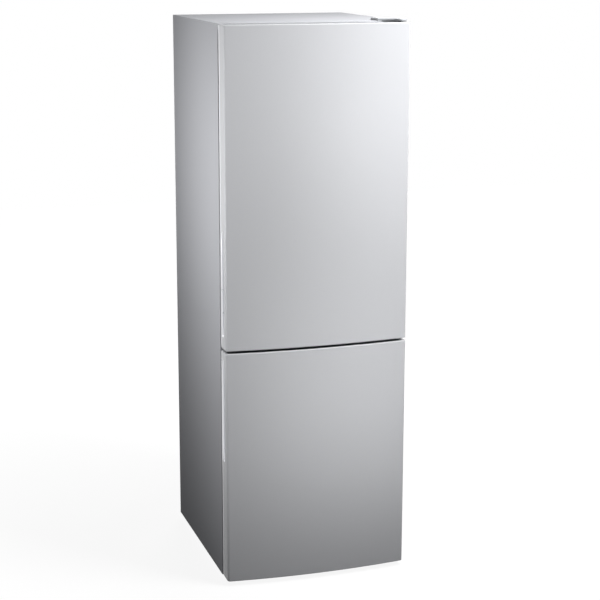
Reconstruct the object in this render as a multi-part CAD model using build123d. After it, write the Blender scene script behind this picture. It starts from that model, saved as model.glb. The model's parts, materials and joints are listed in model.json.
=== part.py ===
from build123d import *
import os
from math import sqrt

os.makedirs("parts", exist_ok=True)

# Case
cabinet_width = 595.0
case_height = 1760.0
case_depth = 585.0
foot_height = 14.0
case_sheet = 1.0
flange_width = 40.0
base_sheet = 1.5
rail_fold = 14.0
rib_width = 28.0
rib_spacing = 260.0
rib_bottom_margin = 120.0
rib_top_margin = 160.0
rib_bevel = 10.0

# Doors
lower_door_height = 751.0
door_gap = 8.0
door_bottom_gap = 2.0
door_top_gap = 2.0
gasket_gap = 10.0
door_edge_depth = 58.0
door_bow = 18.0
door_sheet = 0.8
door_edge_radius = 8.0
door_end_radius = 6.0
door_return = 14.0
cap_height = 21.0
cap_sink = 0.8
cap_bevel = 3.0

# Hinges
pivot_from_side = 18.0
pivot_from_rear = 28.0
pin_radius = 5.0
pin_reach = 18.0
hinge_plate = 3.0
middle_plate = 3.5
hinge_nose_radius = 13.0
hinge_nose_sides = 16
hinge_width = 75.0
hinge_shoulder = 6.0
hinge_neck = 4.0
top_hinge_depth = 58.0
bottom_hinge_depth = 50.0
leaf_height = 28.0
leaf_width = 54.0
hinge_cover_height = 8.0
hinge_cover_wall = 1.9
hinge_cover_roof = 1.5
hinge_cover_lift = 1.2
hinge_cover_tail = 6.0
hinge_cover_bevel = 2.5
screw_radius = 4.6
hex_sides = 6
screw_head = 2.2
screw_margin = 14.0

# Feet and rollers
foot_radius = 17.0
foot_sides = 12
foot_pad = 8.5
foot_bevel = 3.0
foot_thread = 5.0
foot_thread_sides = 18
foot_from_side = 52.0
foot_from_front = 60.0
foot_room = 2.0
nut_radius = 10.0
nut_height = 12.0
stud_proud = 1.0
roller_radius = 17.0
roller_width = 18.0
roller_sides = 24
roller_pin = 4.0
roller_from_side = 62.0
roller_from_rear = 46.0
roller_room = 5.0
ear_sheet = 2.0
ear_gap = 1.0
ear_half = 13.0
ear_tip_half = 6.0
ear_rise = 16.0

# Seals and grips
gasket_width = 16.0
gasket_side_inset = 20.0
gasket_end_inset = 12.0
gasket_land = 2.0
gasket_bevel = 2.5
gasket_clearance = 0.4
grip_length = 335.0
grip_width = 24.0
grip_tip_width = 13.0
grip_tip_length = 34.0
grip_depth = 26.0
grip_wall = 1.0
grip_floor = 2.0
grip_draft = 8.0
grip_from_rear = 25.0
upper_grip_from_seam = 38.0
lower_grip_from_seam = 25.0

# Compartments
liner_sheet = 2.0
fridge_wall = 48.0
freezer_wall = 60.0
top_wall = 50.0
back_wall = 55.0
floor_wall = 60.0
divider_half = 35.0
machine_depth = 200.0
machine_height = 225.0
step_wall = 50.0
liner_radius = 18.0
liner_lip = 3.0
plate_radius = 5.0
plate_end_gap = 1.0
dyke_side_gap = 14.0
dyke_end_gap = 8.0
dyke_width = 32.0
dyke_bevel = 5.0
fridge_dyke_depth = 40.0
freezer_dyke_depth = 18.0

# Shelves
shelf_count = 4
glass_thickness = 4.0
shelf_side_gap = 2.0
shelf_set_back = 125.0
top_shelf_room = 174.0
ledge_reach = 9.0
ledge_height = 8.0
ledge_draft = 3.0
ledge_set_back = 8.0
trim_lip = 3.0
trim_reach = 9.0
trim_under = 5.0
trim_over = 2.5
trim_bevel = 2.0
trim_side_gap = 2.0
stop_width = 7.0
stop_height = 9.0
stop_inset = 1.0

# Door bins
bin_depth = 104.0
bin_wall = 2.2
bin_rim = 5.5
bin_rim_height = 4.0
bin_corner = 22.0
bottle_bin_height = 105.0
upper_bin_count = 3
upper_bin_height = 78.0
bottle_bin_rise = 44.0
bottle_room = 246.0
top_bin_drop = 220.0
hook_set_back = 6.0
hook_length = 24.0
lug_set_back = 8.0
lug_length = 20.0
lug_height = 17.6

# Drawers
tub_wall = 2.5
tub_rim = 10.0
tub_rim_gap = 2.0
tub_rim_start = 8.0
tub_side_gap = 6.0
tub_corner = 18.0
tub_bevel = 12.0
bevel_share = 0.6
front_plate = 3.0
plate_rise = 2.0
drawer_lip = 10.0
drawer_set_back = 46.0
drawer_rear_gap = 12.0
drawer_gap = 20.0
top_drawer_drop = 26.0
bottom_drawer_drop = 14.0
bottom_drawer_rise = 10.0
runner_start = 16.0
crisper_height = 198.0
crisper_gap = 3.0
crisper_side_gap = 1.0
crisper_top_gap = 4.0
crisper_rear_gap = 12.0
crisper_lid_gap = 6.0

# Air duct, control box, lamp and dial
duct_depth = 28.0
duct_width = 230.0
duct_slope = 14.0
duct_wall = 2.0
duct_bottom_gap = 40.0
duct_top_gap = 46.0
outlet_count = 4
outlet_width = 36.0
outlet_height = 8.0
outlet_rise = 78.0
box_width = 300.0
box_depth = 150.0
box_height = 36.0
box_set_back = 12.0
box_nose = 2.0
box_tail = 20.0
box_tail_height = 12.0
lens_left = 120.0
lens_width = 150.0
lens_depth = 90.0
lens_set_back = 22.0
lens_drop = 3.0
lens_bevel = 2.0
lamp_room = 16.0
dial_x = 78.0
dial_radius = 14.0
dial_sides = 18
dial_depth = 8.5
dial_bevel = 1.5
dial_bar_width = 4.0
dial_bar_height = 5.0
dial_bar_inset = 2.0
dial_shaft = 3.0
dial_shaft_reach = 11.0
dial_shaft_root = 4.0

# Cold air
cold_space = 84.0
cold_cover_sheet = 2.0
cold_wall_inset = 20.0
fan_radius = 52.0
fan_drop = 78.0
fan_set_back = 16.0
fan_hub_radius = 17.0
fan_hub_sides = 15
fan_hub_half = 9.0
blade_sheet = 1.8
blade_chord = 26.0
blade_pitch = 38.0
blade_count = 5
shaft_radius = 3.0
motor_radius = 25.0
motor_sides = 12
motor_length = 34.0
motor_gap = 12.0
bracket_half = 70.0
bracket_height = 16.0
bracket_overlap = 4.0
grille_spokes = 8
grille_slot = 9.0
vent_count = 7
vent_pitch = 52.0
vent_width = 36.0
vent_height = 8.0
vent_rise = 16.0
coil_bottom_gap = 12.0
coil_fan_gap = 32.0
coil_depth = 52.0
coil_back_gap = 6.0
coil_side_gap = 25.5
coil_tube = 4.0
tube_sides = 6
coil_tube_inset = 46.0
coil_end_sheet = 2.0
fin_count = 6
fin_sheet = 1.2
fin_inset = 16.0

# Machine space
pot_radius = 74.0
pot_sides = 18
pot_height = 138.0
pot_low_bevel = 16.0
pot_top_bevel = 24.0
pot_seam_rise = 64.0
pot_seam = 5.0
pot_seam_reach = 4.0
pot_lift = 16.0
pot_foot_half = 108.0
pot_foot_depth = 62.0
pot_foot_sheet = 3.0
pot_side_gap = 19.5
stub_radius = 4.0
stub_sides = 6
stub_reach = 62.0
stub_back = 30.0
stub_low = 40.0
stub_high = 124.0
grommet_radius = 13.0
grommet_sides = 8
grommet_draft = 12.0
grommet_inset = 16.0
tray_half = 90.0
tray_half_depth = 60.0
tray_height = 26.0
tray_wall = 2.0
tray_bevel = 10.0
condenser_tube = 2.8
condenser_rows = 5
condenser_pitch = 32.0
condenser_rise = 14.0
condenser_bend = 9.0
bend_share = 0.3
condenser_side_gap = 48.5
condenser_pot_gap = 19.0
condenser_back = 30.0
clip_width = 12.0
clip_sheet = 3.0
clip_inset = 30.0
cover_sheet = 1.2
louvre_rows = 8
louvre_pitch = 19.0
louvre_height = 6.0
louvre_length = 190.0
louvre_spacing = 220.0
louvre_rise = 26.0
gland_from_side = 61.5
gland_from_top = 34.0
gland_radius = 11.0
gland_sides = 6
gland_neck = 7.8
gland_bore = 3.5
gland_head = 1.7
gland_length = 8.8

# Clearances
fit_gap = 0.2
seat_gap = 0.4
touch_gap = 0.05
pin_clearance = 0.05
thread_clearance = 0.1
trim_gap = 0.1
cut_over = 1.0

half_width = cabinet_width / 2
case_bottom = foot_height
case_top = case_bottom + case_height
total_depth = case_depth + gasket_gap + door_edge_depth + door_bow
back_y = total_depth / 2
front_y = back_y - case_depth
door_rear_y = front_y - gasket_gap
door_edge_y = door_rear_y - door_edge_depth
lower_bottom = case_bottom + door_bottom_gap
lower_top = lower_bottom + lower_door_height
upper_bottom = lower_top + door_gap
upper_top = case_top - door_top_gap
seam_z = (lower_top + upper_bottom) / 2
pivot_x = half_width - pivot_from_side
pivot_y = door_rear_y - pivot_from_rear
bow_radius = (half_width ** 2 + door_bow ** 2) / (2 * door_bow)
bow_centre_y = door_edge_y - door_bow + bow_radius
inner_half = half_width - case_sheet
flange_half = half_width - flange_width
back_sheet_y = back_y - 2 * case_sheet

fridge_half = half_width - fridge_wall
fridge_floor = seam_z + divider_half
fridge_roof = case_top - top_wall
freezer_half = half_width - freezer_wall
freezer_roof = seam_z - divider_half
freezer_floor = case_bottom + floor_wall
cavity_back_y = back_y - back_wall
machine_front_y = back_y - machine_depth
machine_top = case_bottom + machine_height
step_y = machine_front_y - step_wall
step_z = machine_top + step_wall
cold_cover_y = cavity_back_y - cold_space
shelf_front_y = front_y + shelf_set_back
shelf_back_y = cavity_back_y - duct_depth - 2 * seat_gap
crisper_top = fridge_floor + crisper_height
lowest_shelf = crisper_top + crisper_lid_gap
shelf_pitch = (fridge_roof - top_shelf_room - lowest_shelf) / (shelf_count - 1)
shelf_levels = [lowest_shelf + step * shelf_pitch for step in range(shelf_count)]


def rect(a, b, radius=0.0):
    """Rectangle over the spans a and b, with its corners rounded."""
    size = (a[1] - a[0], b[1] - b[0])
    outline = RectangleRounded(*size, radius) if radius else Rectangle(*size)
    return Pos((a[0] + a[1]) / 2, (b[0] + b[1]) / 2) * outline


def up(face, low, high, taper=0.0):
    """Plan outline raised from one height to another."""
    return extrude(Plane.XY.offset(low) * face, amount=high - low, taper=taper)


def back(face, near, far):
    """Front-view outline run from the near depth to the far one."""
    return extrude(Plane.XZ.offset(-far) * face, amount=far - near)


def across(face, left, right):
    """Side-view outline run from left to right."""
    return extrude(Plane.YZ.offset(left) * face, amount=right - left)


def block(x, y, z):
    """Straight-sided solid over three spans."""
    return up(rect(x, y), z[0], z[1])


def disc(radius, x, y, low, high):
    """Upright cylinder."""
    return up(Pos(x, y) * Circle(radius), low, high)


def around(middle, half):
    """Span of a half width to each side of a middle."""
    return (middle - half, middle + half)


def on_side(side, inner, outer):
    """Span between two distances from the middle plane, on the given side of it."""
    return tuple(sorted((side * inner, side * outer)))


def mirrored(solid):
    """The same solid on the other side of the middle plane."""
    return mirror(solid, about=Plane.YZ)


def save(name, *solids):
    """Write one piece, or one group of like pieces."""
    shape = solids[0] if len(solids) == 1 else Compound(children=list(solids))
    export_step(shape, "parts/" + name + ".step")


# Case panels: each side sheet ends in a folded front flange that the gasket meets.
side_plan = make_face(Polyline(
    (half_width, back_y), (half_width, front_y), (flange_half, front_y), (flange_half, front_y + case_sheet),
    (inner_half, front_y + case_sheet), (inner_half, back_y), close=True))
side_panel_right = up(side_plan, case_bottom, case_top)
side_panel_left = mirrored(side_panel_right)

flange_low = case_top - flange_width
top_side = make_face(Polyline(
    (front_y, case_top), (back_y, case_top), (back_y, case_top - case_sheet),
    (front_y + case_sheet, case_top - case_sheet), (front_y + case_sheet, flange_low),
    (front_y, flange_low), close=True))
top_panel = across(top_side, -inner_half, inner_half)
for side in (-1, 1):
    corner = on_side(side, flange_half, half_width)
    top_panel -= block(corner, (front_y, front_y + case_sheet), (flange_low, case_top))

# The back sheet carries pressed stiffening ribs and ends above the machine space.
back_panel = block((-inner_half, inner_half), (back_sheet_y, back_y - case_sheet),
                   (machine_top, case_top - case_sheet))
for side in (-1, 1):
    rib = rect(around(side * rib_spacing / 2, rib_width / 2),
               (machine_top + rib_bottom_margin, case_top - rib_top_margin))
    back_panel += back(chamfer(rib.vertices(), rib_bevel), back_y - case_sheet, back_y)

# Base plate: front upstand, weld nuts for the feet, ears and pins for the rollers.
floor_z = case_bottom + base_sheet
foot_x = half_width - foot_from_side
foot_y = front_y + foot_from_front
roller_x = half_width - roller_from_side
roller_y = back_y - roller_from_rear
upstand_top = lower_bottom + gasket_end_inset + gasket_width + gasket_land
base_side = make_face(Polyline(
    (front_y, case_bottom), (back_sheet_y, case_bottom), (back_sheet_y, floor_z),
    (front_y + base_sheet, floor_z), (front_y + base_sheet, upstand_top), (front_y, upstand_top), close=True))
base_plate = across(base_side, -inner_half, inner_half)
ear_tip = roller_radius - 2 * roller_pin
ear = make_face(Polyline(
    (roller_y - ear_half, case_bottom), (roller_y - ear_tip_half, ear_tip),
    (roller_y + ear_tip_half, ear_tip), (roller_y + ear_half, case_bottom),
    (roller_y + ear_half, case_bottom + ear_rise), (roller_y - ear_half, case_bottom + ear_rise), close=True))
ear_inner = roller_width / 2 + ear_gap
ear_outer = ear_inner + ear_sheet
for side in (-1, 1):
    corner = on_side(side, flange_half, half_width)
    base_plate -= block(corner, (front_y, front_y + base_sheet), (case_bottom, upstand_top))
    nut = Pos(side * foot_x, foot_y) * RegularPolygon(nut_radius, hex_sides)
    base_plate += up(nut, case_bottom, case_bottom + nut_height)
    base_plate -= disc(foot_thread + thread_clearance, side * foot_x, foot_y, 0, case_bottom + 2 * nut_height)
    middle = side * roller_x
    base_plate -= block(around(middle, ear_inner), around(roller_y, roller_radius + roller_room),
                        (case_bottom - cut_over, floor_z + cut_over))
    for end in (-1, 1):
        left, right = sorted((middle + end * ear_inner, middle + end * ear_outer))
        base_plate += across(ear, left, right)
    pin = Pos(roller_y, roller_radius) * Circle(roller_pin)
    base_plate += across(pin, *around(middle, ear_inner))

# Centre rail behind the gap between the doors, folded back at both edges.
rail_low = freezer_roof + liner_sheet + 2 * fit_gap
rail_high = fridge_floor - liner_sheet - 2 * fit_gap
rail_rear_y = front_y + rail_fold
rail_side = make_face(Polyline(
    (front_y, rail_low), (rail_rear_y, rail_low), (rail_rear_y, rail_low + case_sheet),
    (front_y + case_sheet, rail_low + case_sheet), (front_y + case_sheet, rail_high - case_sheet),
    (rail_rear_y, rail_high - case_sheet), (rail_rear_y, rail_high), (front_y, rail_high), close=True))
centre_rail = across(rail_side, -flange_half, flange_half)

# Liners: thin formed tubs, open to the front, with ledges standing out of their side walls.
liner_front_y = front_y + base_sheet + touch_gap
lip_half = flange_half + liner_lip
fridge_lip = (fridge_floor - liner_sheet, flange_low + liner_lip)
freezer_lip = (upstand_top - liner_lip, freezer_roof + liner_sheet)


def tub_side(floor, roof, near, far, step=None):
    """Side view of a compartment, with the step over the machine space where there is one."""
    if step:
        rear = [(step[0], floor), step, (far, step[1])]
    else:
        rear = [(far, floor)]
    return make_face(Polyline((near, floor), *rear, (far, roof), (near, roof), close=True))


def liner(half, floor, roof, lip, step=None):
    """Formed tub of one compartment with rounded side walls and a lip that reaches behind the case."""
    t = liner_sheet
    outer_step = (step[0] + t, step[1] - t) if step else None
    outer_side = tub_side(floor - t, roof + t, liner_front_y, cavity_back_y + t, outer_step)
    inner_side = tub_side(floor, roof, liner_front_y - cut_over, cavity_back_y, step)
    outer = across(outer_side, -half - t, half + t)
    outer += back(rect((-lip_half, lip_half), lip), liner_front_y, liner_front_y + t)
    inner = across(inner_side, -half, half)
    side_edges = [e for e in inner.edges() if abs(abs(e.center().X) - half) < touch_gap]
    return outer - fillet([e for e in side_edges if e.center().Y > liner_front_y], liner_radius)


def ledge(half, top, near, far):
    """A pair of drafted ledges formed on the two side walls."""
    low = top - ledge_height
    tip = half - ledge_reach
    face = make_face(Polyline((half, top), (tip, top), (tip, low + ledge_draft), (half, low), close=True))
    right = back(face, near, far)
    return right + mirrored(right)


fridge_liner = liner(fridge_half, fridge_floor, fridge_roof, fridge_lip)
for level in shelf_levels:
    fridge_liner += ledge(fridge_half, level - seat_gap, shelf_front_y + ledge_set_back,
                          cavity_back_y - liner_radius)

drawer_front_y = front_y + drawer_set_back
bottom_drawer_top = step_z - bottom_drawer_drop
top_drawer_top = freezer_roof - top_drawer_drop
drawer_pitch = (top_drawer_top - bottom_drawer_top) / 2
drawer_tops = (top_drawer_top, top_drawer_top - drawer_pitch, bottom_drawer_top)
drawer_lows = (drawer_tops[1] + drawer_gap, drawer_tops[2] + drawer_gap, freezer_floor + bottom_drawer_rise)
long_drawer = cold_cover_y - drawer_front_y - drawer_rear_gap
short_drawer = step_y - drawer_front_y - drawer_rear_gap
drawer_depths = (long_drawer, long_drawer, short_drawer)
freezer_liner = liner(freezer_half, freezer_floor, freezer_roof, freezer_lip, (step_y, step_z))
for top, depth in zip(drawer_tops, drawer_depths):
    freezer_liner += ledge(freezer_half, top - tub_wall - seat_gap, drawer_front_y + runner_start,
                           drawer_front_y + depth)

# Foam between the sheets and the liners, one slab to each wall.
foam_front_y = rail_rear_y + seat_gap
foam_back_y = back_sheet_y - fit_gap
foam_half = inner_half - fit_gap
fridge_out = fridge_half + liner_sheet + fit_gap
freezer_out = freezer_half + liner_sheet + fit_gap
fridge_under = fridge_floor - liner_sheet - fit_gap
freezer_over = freezer_roof + liner_sheet + fit_gap
cavity_behind = cavity_back_y + liner_sheet + fit_gap
roof_over = fridge_roof + liner_sheet + fit_gap
foam_top = case_top - case_sheet - fit_gap
floor_under = freezer_floor - liner_sheet - fit_gap
foam_floor = floor_z + nut_height + 2 * stud_proud
step_under = step_z - liner_sheet - fit_gap
step_behind = step_y + liner_sheet + fit_gap
foam = []
for side in (-1, 1):
    upper_x = on_side(side, fridge_out, foam_half)
    lower_x = on_side(side, freezer_out, foam_half)
    foam.append(block(upper_x, (foam_front_y, foam_back_y), (freezer_over, foam_top)))
    foam.append(block(lower_x, (foam_front_y, foam_back_y), (machine_top, freezer_over)))
    foam.append(block(lower_x, (foam_front_y, machine_front_y), (foam_floor, machine_top)))
fridge_x = (-fridge_out, fridge_out)
freezer_x = (-freezer_out, freezer_out)
foam.append(block(fridge_x, (foam_front_y, foam_back_y), (roof_over, foam_top)))
foam.append(block(fridge_x, (cavity_behind, foam_back_y), (fridge_under, roof_over)))
foam.append(block(fridge_x, (foam_front_y, foam_back_y), (freezer_over, fridge_under)))
foam.append(block(freezer_x, (cavity_behind, foam_back_y), (step_under, freezer_over)))
foam.append(block(freezer_x, (step_behind, foam_back_y), (machine_top, step_under)))
foam.append(block(freezer_x, (step_behind, machine_front_y), (foam_floor, machine_top)))
foam.append(block(freezer_x, (foam_front_y, step_behind), (foam_floor, floor_under)))

# Hinges: a plate with a rounded nose around the pivot, and pins into the door caps.
nose = Pos(pivot_x, pivot_y) * RegularPolygon(hinge_nose_radius, hinge_nose_sides)
nose_left = pivot_x - hinge_nose_radius
nose_right = pivot_x + hinge_nose_radius
hinge_left = nose_right - hinge_width


def hinge_plan(far, shoulder):
    """Plan of a hinge plate from the pivot back to the given depth, widening at its shoulder."""
    body = make_face(Polyline(
        (nose_left, pivot_y), (nose_right, pivot_y), (nose_right, far), (hinge_left, far),
        (hinge_left, shoulder), (nose_left, door_rear_y - hinge_neck), close=True))
    return body + nose


shoulder_y = front_y + hinge_shoulder
top_hinge_y = front_y + top_hinge_depth
top_hinge_plan = hinge_plan(top_hinge_y, shoulder_y)
top_hinge = up(top_hinge_plan, case_top, case_top + hinge_plate)
top_hinge += disc(pin_radius, pivot_x, pivot_y, upper_top - pin_reach, case_top + hinge_plate)

cover_room = fit_gap + seat_gap
cover_plan = hinge_plan(top_hinge_y + hinge_cover_tail, shoulder_y)
cover_plan = offset(cover_plan, amount=cover_room + hinge_cover_wall, kind=Kind.INTERSECTION)
cover_top = case_top + hinge_cover_height
cover = up(cover_plan, case_top + fit_gap, cover_top)
cover = chamfer(cover.faces().sort_by(Axis.Z)[-1].edges(), hinge_cover_bevel)
hinge_room = offset(top_hinge_plan, amount=cover_room, kind=Kind.INTERSECTION)
cover -= up(hinge_room, case_top, cover_top - hinge_cover_roof)
over_door = rect((hinge_left - hinge_width, half_width), (pivot_y - hinge_width, front_y))
top_hinge_cover = cover - up(over_door, case_top, case_top + hinge_cover_lift)

leaf_near = front_y - hinge_plate
middle_hinge = up(hinge_plan(front_y - hinge_plate / 2, leaf_near), *around(seam_z, middle_plate / 2))
leaf_x = (hinge_left, hinge_left + leaf_width)
middle_hinge += back(rect(leaf_x, around(seam_z, leaf_height / 2)), leaf_near, front_y - touch_gap)
middle_hinge += disc(pin_radius, pivot_x, pivot_y, lower_top - pin_reach, upper_bottom + pin_reach)

plate_under = case_bottom - hinge_plate
bottom_hinge = up(hinge_plan(front_y + bottom_hinge_depth, shoulder_y), plate_under, case_bottom - touch_gap)
bottom_hinge += disc(pin_radius, pivot_x, pivot_y, plate_under, lower_bottom + pin_reach)
bottom_hinge -= disc(foot_radius + foot_room, foot_x, foot_y, 0, case_bottom)

screw = up(RegularPolygon(screw_radius, hex_sides), 0, screw_head)
screw_left = hinge_left + screw_margin
screw_near = shoulder_y + screw_margin
screw_far = top_hinge_y - screw_margin
leaf_row = (leaf_height + middle_plate) / 4
screws = []
for x, y in ((screw_left, screw_near), (screw_left, screw_far), (pivot_x - screw_margin, screw_far)):
    screws.append(Pos(x, y, case_top + hinge_plate) * screw)
for x in (leaf_x[0] + screw_margin, leaf_x[1] - screw_margin):
    for z in (seam_z - leaf_row, seam_z + leaf_row):
        screws.append(Pos(x, leaf_near, z) * Rot(90, 0, 0) * screw)
for x, y in ((hinge_left + 2 * screw_radius, screw_near), (pivot_x, shoulder_y)):
    screws.append(Pos(x, y, plate_under) * Rot(180, 0, 0) * screw)

# Glass shelves on the ledges, each with a front rail and a rear stop.
shelf_half = fridge_half - shelf_side_gap
trim_low = -trim_gap
trim_high = glass_thickness + trim_gap
trim_side = make_face(Polyline(
    (-trim_lip, -trim_under), (trim_reach, -trim_under), (trim_reach, trim_low), (0, trim_low),
    (0, trim_high), (trim_reach, trim_high), (trim_reach, trim_high + trim_over),
    (-trim_lip, trim_high + trim_over), close=True))
trim_side = chamfer(trim_side.vertices().sort_by(Axis.X)[:2], trim_bevel)
rail_half = fridge_half - ledge_reach - 2 * trim_side_gap
stop_half = shelf_half - trim_side_gap
stop_y = (shelf_back_y - stop_inset - stop_width, shelf_back_y - stop_inset)
shelf_trims = []
shelf_glass = []
for level in shelf_levels:
    sheet_plan = rect((-shelf_half, shelf_half), (shelf_front_y, shelf_back_y))
    shelf_glass.append(up(sheet_plan, level, level + glass_thickness))
    shelf_trims.append(across(Pos(shelf_front_y - fit_gap, level) * trim_side, -rail_half, rail_half))
    stop_z = level + glass_thickness + trim_gap
    shelf_trims.append(block((-stop_half, stop_half), stop_y, (stop_z, stop_z + stop_height)))

# Air duct cover on the fridge's back wall, with a row of outlets over each shelf.
duct_half = duct_width / 2
duct_face_half = duct_half - duct_slope
duct_near = cavity_back_y - duct_depth
duct_plan = make_face(Polyline(
    (-duct_half, cavity_back_y), (-duct_face_half, duct_near), (duct_face_half, duct_near),
    (duct_half, cavity_back_y), close=True))
duct_low = fridge_floor + duct_bottom_gap
duct_high = fridge_roof - duct_top_gap
air_duct_cover = up(duct_plan, duct_low, duct_high)
duct_room = offset(duct_plan, amount=-duct_wall, kind=Kind.INTERSECTION)
air_duct_cover -= up(Pos(0, duct_wall) * duct_room, duct_low + duct_wall, duct_high - duct_wall)
outlet_pitch = 2 * duct_face_half / outlet_count
for level in shelf_levels:
    for step in range(outlet_count):
        middle = (step - (outlet_count - 1) / 2) * outlet_pitch
        low = level + outlet_rise
        outlet = rect(around(middle, outlet_width / 2), (low, low + outlet_height))
        air_duct_cover -= back(outlet, duct_near - cut_over, duct_near + duct_wall + cut_over)

# Control box under the roof, with the dial on its front and the lamp lens under it.
box_near = shelf_front_y + box_set_back
box_far = box_near + box_depth
box_low = fridge_roof - box_height
box_high = fridge_roof - trim_gap
box_side = make_face(Polyline(
    (box_near, box_high), (box_near, box_low + box_nose), (box_near + box_nose, box_low),
    (box_far - box_tail, box_low), (box_far, fridge_roof - box_tail_height), (box_far, box_high), close=True))
control_box = across(box_side, -box_width / 2, box_width / 2)
lens_near = box_near + lens_set_back
lens_x = (-lens_left, lens_width - lens_left)
lens_y = (lens_near, lens_near + lens_depth)
control_box -= block(lens_x, lens_y, (box_low - cut_over, box_low + lamp_room))
lens_plan = rect((lens_x[0] + fit_gap, lens_x[1] - fit_gap), (lens_y[0] + fit_gap, lens_y[1] - fit_gap))
lamp_lens = up(lens_plan, box_low - lens_drop, box_low + lens_drop)
lamp_lens = chamfer(lamp_lens.faces().sort_by(Axis.Z)[0].edges(), lens_bevel)
dial_z = fridge_roof - box_height / 2
dial_spot = Pos(dial_x, dial_z)
dial_far = box_near - seat_gap
dial_near = dial_far - dial_depth
bar_half = dial_radius - dial_bar_inset
shaft_tip = box_near - dial_shaft_reach
control_box += back(dial_spot * Circle(dial_shaft), shaft_tip, box_near + dial_shaft_root)
dial = back(dial_spot * RegularPolygon(dial_radius, dial_sides), dial_near, dial_far)
dial = chamfer(dial.faces().sort_by(Axis.Y)[0].edges(), dial_bevel)
bar = rect(around(dial_x, dial_bar_width / 2), around(dial_z, bar_half))
dial += back(bar, dial_near - dial_bar_height, dial_near + dial_bevel)
thermostat_dial = dial - back(dial_spot * Circle(dial_shaft + pin_clearance), shaft_tip - seat_gap, box_near)

# Freezer back: finned coil, fan, its motor, and the cover that parts them from the drawers.
fan_z = freezer_roof - fan_drop
fan_y = cold_cover_y + fan_set_back
cover_low = step_z + seat_gap
cover_high = freezer_roof - seat_gap
cover_half = freezer_half - seat_gap
cover_rear_y = cold_cover_y + cold_cover_sheet
cold_wall = freezer_half - cold_wall_inset
coil_half = cold_wall - cold_cover_sheet - coil_side_gap
coil_z = (step_z + coil_bottom_gap, fan_z - fan_radius - coil_fan_gap)
coil_far = cavity_back_y - coil_back_gap
coil_y = (coil_far - coil_depth, coil_far)
tube_y = (coil_y[0] + coil_y[1]) / 2
evaporator = None
for z in (coil_z[0] + coil_tube_inset, coil_z[1] - coil_tube_inset):
    run = across(Pos(tube_y, z) * RegularPolygon(coil_tube, tube_sides), -coil_half, coil_half)
    evaporator = run if evaporator is None else evaporator + run
fin_pitch = 2 * (coil_half - fin_inset) / (fin_count - 1)
for number in range(fin_count):
    x = -coil_half + fin_inset + number * fin_pitch
    evaporator += block(around(x, fin_sheet / 2), coil_y, coil_z)
for side in (-1, 1):
    plate_x = on_side(side, coil_half - 2 * coil_end_sheet, coil_half - coil_end_sheet)
    evaporator += block(plate_x, (coil_y[0], cavity_back_y - trim_gap), coil_z)

cover_face = rect((-cover_half, cover_half), (cover_low, cover_high), liner_radius + cut_over)
evaporator_cover = back(cover_face, cold_cover_y, cover_rear_y)
for side in (-1, 1):
    wall_x = on_side(side, cold_wall - cold_cover_sheet, cold_wall)
    evaporator_cover += block(wall_x, (cold_cover_y, cavity_back_y - seat_gap), (cover_low, cover_high))
grille_cut = (cold_cover_y - cut_over, cover_rear_y + cut_over)
spoke_length = fan_radius - fan_hub_radius
for turn in range(grille_spokes):
    spoke = Pos(fan_hub_radius + spoke_length / 2, 0) * Rectangle(spoke_length, grille_slot)
    spoke = Pos(0, fan_z) * Rot(0, 0, turn * 360 / grille_spokes) * spoke
    evaporator_cover -= back(spoke, *grille_cut)
for number in range(vent_count):
    middle = (number - (vent_count - 1) / 2) * vent_pitch
    vent_low = cover_low + vent_rise
    vent = rect(around(middle, vent_width / 2), (vent_low, vent_low + vent_height))
    evaporator_cover -= back(vent, *grille_cut)

motor_near = fan_y + motor_gap
motor_far = motor_near + motor_length
fan_spot = Pos(0, fan_z)
fan_motor = back(fan_spot * RegularPolygon(motor_radius, motor_sides), motor_near, motor_far)
fan_motor += back(fan_spot * Circle(shaft_radius), fan_y - fan_hub_half, motor_near)
bracket = rect((-bracket_half, bracket_half), around(fan_z, bracket_height / 2))
fan_motor += back(bracket, motor_far - bracket_overlap, cavity_back_y - seat_gap)

hub_y = (fan_y - fan_hub_half, fan_y + fan_hub_half)
blade_cut = back(fan_spot * Circle(fan_radius), *hub_y)
fan = back(fan_spot * RegularPolygon(fan_hub_radius, fan_hub_sides), *hub_y)
blade_root = fan_hub_radius - blade_sheet
blade_length = fan_radius - blade_root + cut_over
blade = Rot(blade_pitch, 0, 0) * Box(blade_length, blade_sheet, blade_chord)
blade = Pos(blade_root + blade_length / 2, 0, 0) * blade
for turn in range(blade_count):
    fan += (Pos(0, fan_y, fan_z) * Rot(0, turn * 360 / blade_count, 0) * blade) & blade_cut
hub_bore = fan_spot * Circle(shaft_radius + pin_clearance)
evaporator_fan = fan - back(hub_bore, hub_y[0] - cut_over, hub_y[1] + cut_over)

# Machine space: compressor on grommets, drip tray over it, coil, louvred cover, cord gland.
pot_x = roller_x - ear_outer - pot_side_gap - pot_foot_half
pot_y = machine_front_y + machine_depth / 2
pot_z = floor_z + pot_lift
pot_top = pot_z + pot_height
pot_spot = Pos(pot_x, pot_y)
pot = up(pot_spot * RegularPolygon(pot_radius, pot_sides), pot_z, pot_top)
pot = chamfer(pot.faces().sort_by(Axis.Z)[0].edges(), pot_low_bevel)
pot = chamfer(pot.faces().sort_by(Axis.Z)[-1].edges(), pot_top_bevel)
seam_low = pot_z + pot_seam_rise
pot_rim = pot_spot * RegularPolygon(pot_radius + pot_seam_reach, pot_sides)
pot += up(pot_rim, seam_low, seam_low + pot_seam)
plate_low = pot_z - pot_foot_sheet
pot += block(around(pot_x, pot_foot_half), around(pot_y, pot_foot_depth), (plate_low, pot_z + pot_foot_sheet))
for way, depth in ((-1, stub_back), (-1, stub_back / 4), (1, stub_back)):
    stub = Pos(pot_x + way * stub_reach, pot_y + depth) * RegularPolygon(stub_radius, stub_sides)
    pot += up(stub, pot_z + stub_low, pot_z + stub_high)
compressor = pot
grommets = []
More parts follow.
